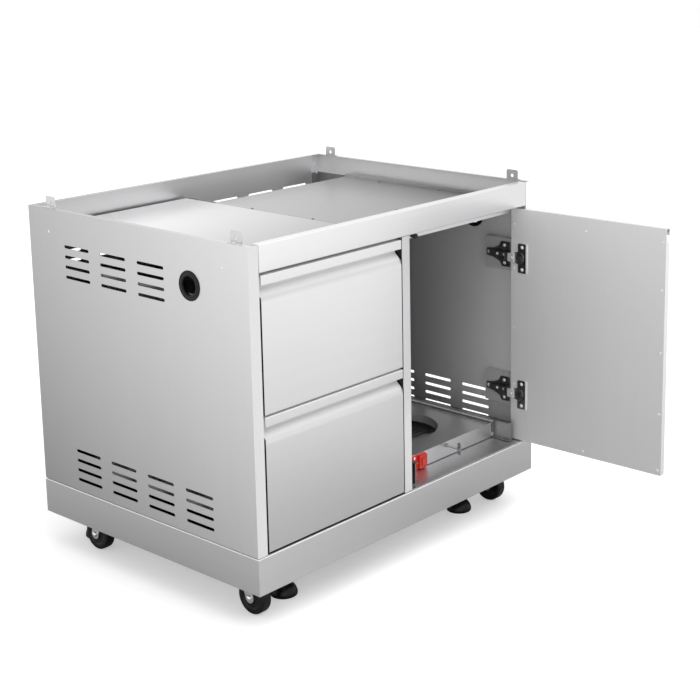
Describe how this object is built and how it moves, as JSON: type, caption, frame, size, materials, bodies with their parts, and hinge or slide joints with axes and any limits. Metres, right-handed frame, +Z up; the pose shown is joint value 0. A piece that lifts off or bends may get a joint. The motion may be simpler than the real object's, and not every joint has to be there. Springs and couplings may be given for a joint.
{
  "type": "grill cabinet",
  "caption": "Stainless outdoor grill cabinet on casters with stacked drawers, a hinged door and a pull-out gas tank tray under an open rim",
  "frame": {"origin": "centre of the bounding box on the floor, with the door open and the tray pushed in", "axes": "+X to the right seen from the front, +Y from the front to the back, +Z up"},
  "size_m": [0.92, 1.0908, 0.823],
  "materials": {
    "steel": "fine brushed stainless",
    "inner_steel": "plain stainless",
    "slide_steel": "zinc plated",
    "bright_steel": "polished",
    "dark_steel": "dark plated",
    "black_rubber": "matt",
    "black_plastic": "matt",
    "red_plastic": "satin"
  },
  "bodies": {
    "cabinet": {"left_side_panel": "steel", "right_side_panel": "steel", "back_panel": "steel", "front_apron": "steel", "centre_post": "steel", "base_skirt": "steel", "left_deck": "steel", "right_deck": "steel", "door_header": "inner_steel", "partition_panel": "inner_steel", "floor_panel": "inner_steel", "base_rails": "inner_steel", "tray_brackets": "inner_steel", "drawer_brackets": "inner_steel", "hinge_brackets": "inner_steel", "mounting_tabs": "inner_steel", "drawer_outer_slides": "slide_steel", "tray_outer_slides": "slide_steel", "panel_rivets": "bright_steel", "deck_screws": "bright_steel", "foot_stems": "bright_steel", "caster_plates": "bright_steel", "hinge_arms": "dark_steel", "left_grommet": "black_rubber", "right_grommet": "black_rubber", "levelling_feet": "black_rubber", "magnet_catch": "black_plastic"},
    "upper_drawer": {"upper_drawer_front": "steel", "upper_drawer_box": "inner_steel", "upper_drawer_inner_slides": "slide_steel"},
    "upper_mid": {"upper_drawer_mid_slides": "slide_steel"},
    "lower_drawer": {"lower_drawer_front": "steel", "lower_drawer_box": "inner_steel", "lower_drawer_inner_slides": "slide_steel"},
    "lower_mid": {"lower_drawer_mid_slides": "slide_steel"},
    "door": {"door_outer_skin": "steel", "door_inner_skin": "steel", "door_rivets": "bright_steel", "hinge_cups": "dark_steel"},
    "tray": {"tray_pan": "steel", "tray_inner_slides": "slide_steel", "red_clip": "red_plastic", "clip_rivets": "bright_steel"},
    "tray_mid": {"tray_mid_slides": "slide_steel"},
    "bolt": {"wing_bolt": "bright_steel"},
    "front_left_swivel": {"front_left_fork": "dark_steel", "front_left_axle": "bright_steel"},
    "front_left_roller": {"front_left_wheel": "black_rubber"},
    "front_right_swivel": {"front_right_fork": "dark_steel", "front_right_axle": "bright_steel"},
    "front_right_roller": {"front_right_wheel": "black_rubber"},
    "rear_left_swivel": {"rear_left_fork": "dark_steel", "rear_left_axle": "bright_steel"},
    "rear_left_roller": {"rear_left_wheel": "black_rubber"},
    "rear_right_swivel": {"rear_right_fork": "dark_steel", "rear_right_axle": "bright_steel"},
    "rear_right_roller": {"rear_right_wheel": "black_rubber"}
  },
  "joints": [
    {"name": "upper_drawer_slide", "type": "slide", "parent": "cabinet", "child": "upper_drawer", "axis": [0, -1, 0], "range_m": [0, 0.45]},
    {"name": "upper_mid_slide", "type": "slide", "parent": "cabinet", "child": "upper_mid", "axis": [0, -1, 0], "range_m": [0, 0.225]},
    {"name": "lower_drawer_slide", "type": "slide", "parent": "cabinet", "child": "lower_drawer", "axis": [0, -1, 0], "range_m": [0, 0.45]},
    {"name": "lower_mid_slide", "type": "slide", "parent": "cabinet", "child": "lower_mid", "axis": [0, -1, 0], "range_m": [0, 0.225]},
    {"name": "door_hinge", "type": "hinge", "parent": "cabinet", "child": "door", "pos_m": [0.4156, -0.1439, 0.421], "axis": [0, 0, 1], "range_deg": [-91.2, 0]},
    {"name": "tray_slide", "type": "slide", "parent": "cabinet", "child": "tray", "axis": [0, -1, 0], "range_m": [0, 0.294]},
    {"name": "tray_mid_slide", "type": "slide", "parent": "cabinet", "child": "tray_mid", "axis": [0, -1, 0], "range_m": [0, 0.147]},
    {"name": "bolt_turn", "type": "hinge", "parent": "tray", "child": "bolt", "pos_m": [0.2155, -0.0876, 0.1945], "axis": [0, -1, 0], "continuous": true},
    {"name": "front_left_swivel_turn", "type": "hinge", "parent": "cabinet", "child": "front_left_swivel", "pos_m": [-0.3975, -0.0556, 0.091], "axis": [0, 0, 1], "continuous": true},
    {"name": "front_left_wheel_turn", "type": "hinge", "parent": "front_left_swivel", "child": "front_left_roller", "pos_m": [-0.3975, -0.0796, 0.039], "axis": [1, 0, 0], "continuous": true},
    {"name": "front_right_swivel_turn", "type": "hinge", "parent": "cabinet", "child": "front_right_swivel", "pos_m": [0.3975, -0.0556, 0.091], "axis": [0, 0, 1], "continuous": true},
    {"name": "front_right_wheel_turn", "type": "hinge", "parent": "front_right_swivel", "child": "front_right_roller", "pos_m": [0.3975, -0.0796, 0.039], "axis": [1, 0, 0], "continuous": true},
    {"name": "rear_left_swivel_turn", "type": "hinge", "parent": "cabinet", "child": "rear_left_swivel", "pos_m": [-0.3975, 0.4084, 0.091], "axis": [0, 0, 1], "continuous": true},
    {"name": "rear_left_wheel_turn", "type": "hinge", "parent": "rear_left_swivel", "child": "rear_left_roller", "pos_m": [-0.3975, 0.4324, 0.039], "axis": [1, 0, 0], "continuous": true},
    {"name": "rear_right_swivel_turn", "type": "hinge", "parent": "cabinet", "child": "rear_right_swivel", "pos_m": [0.3975, 0.4084, 0.091], "axis": [0, 0, 1], "continuous": true},
    {"name": "rear_right_wheel_turn", "type": "hinge", "parent": "rear_right_swivel", "child": "rear_right_roller", "pos_m": [0.3975, 0.4324, 0.039], "axis": [1, 0, 0], "continuous": true}
  ],
  "couplings": [
    {"joint": "upper_mid_slide", "follows": "upper_drawer_slide", "ratio": 0.5},
    {"joint": "lower_mid_slide", "follows": "lower_drawer_slide", "ratio": 0.5},
    {"joint": "tray_mid_slide", "follows": "tray_slide", "ratio": 0.5}
  ]
}
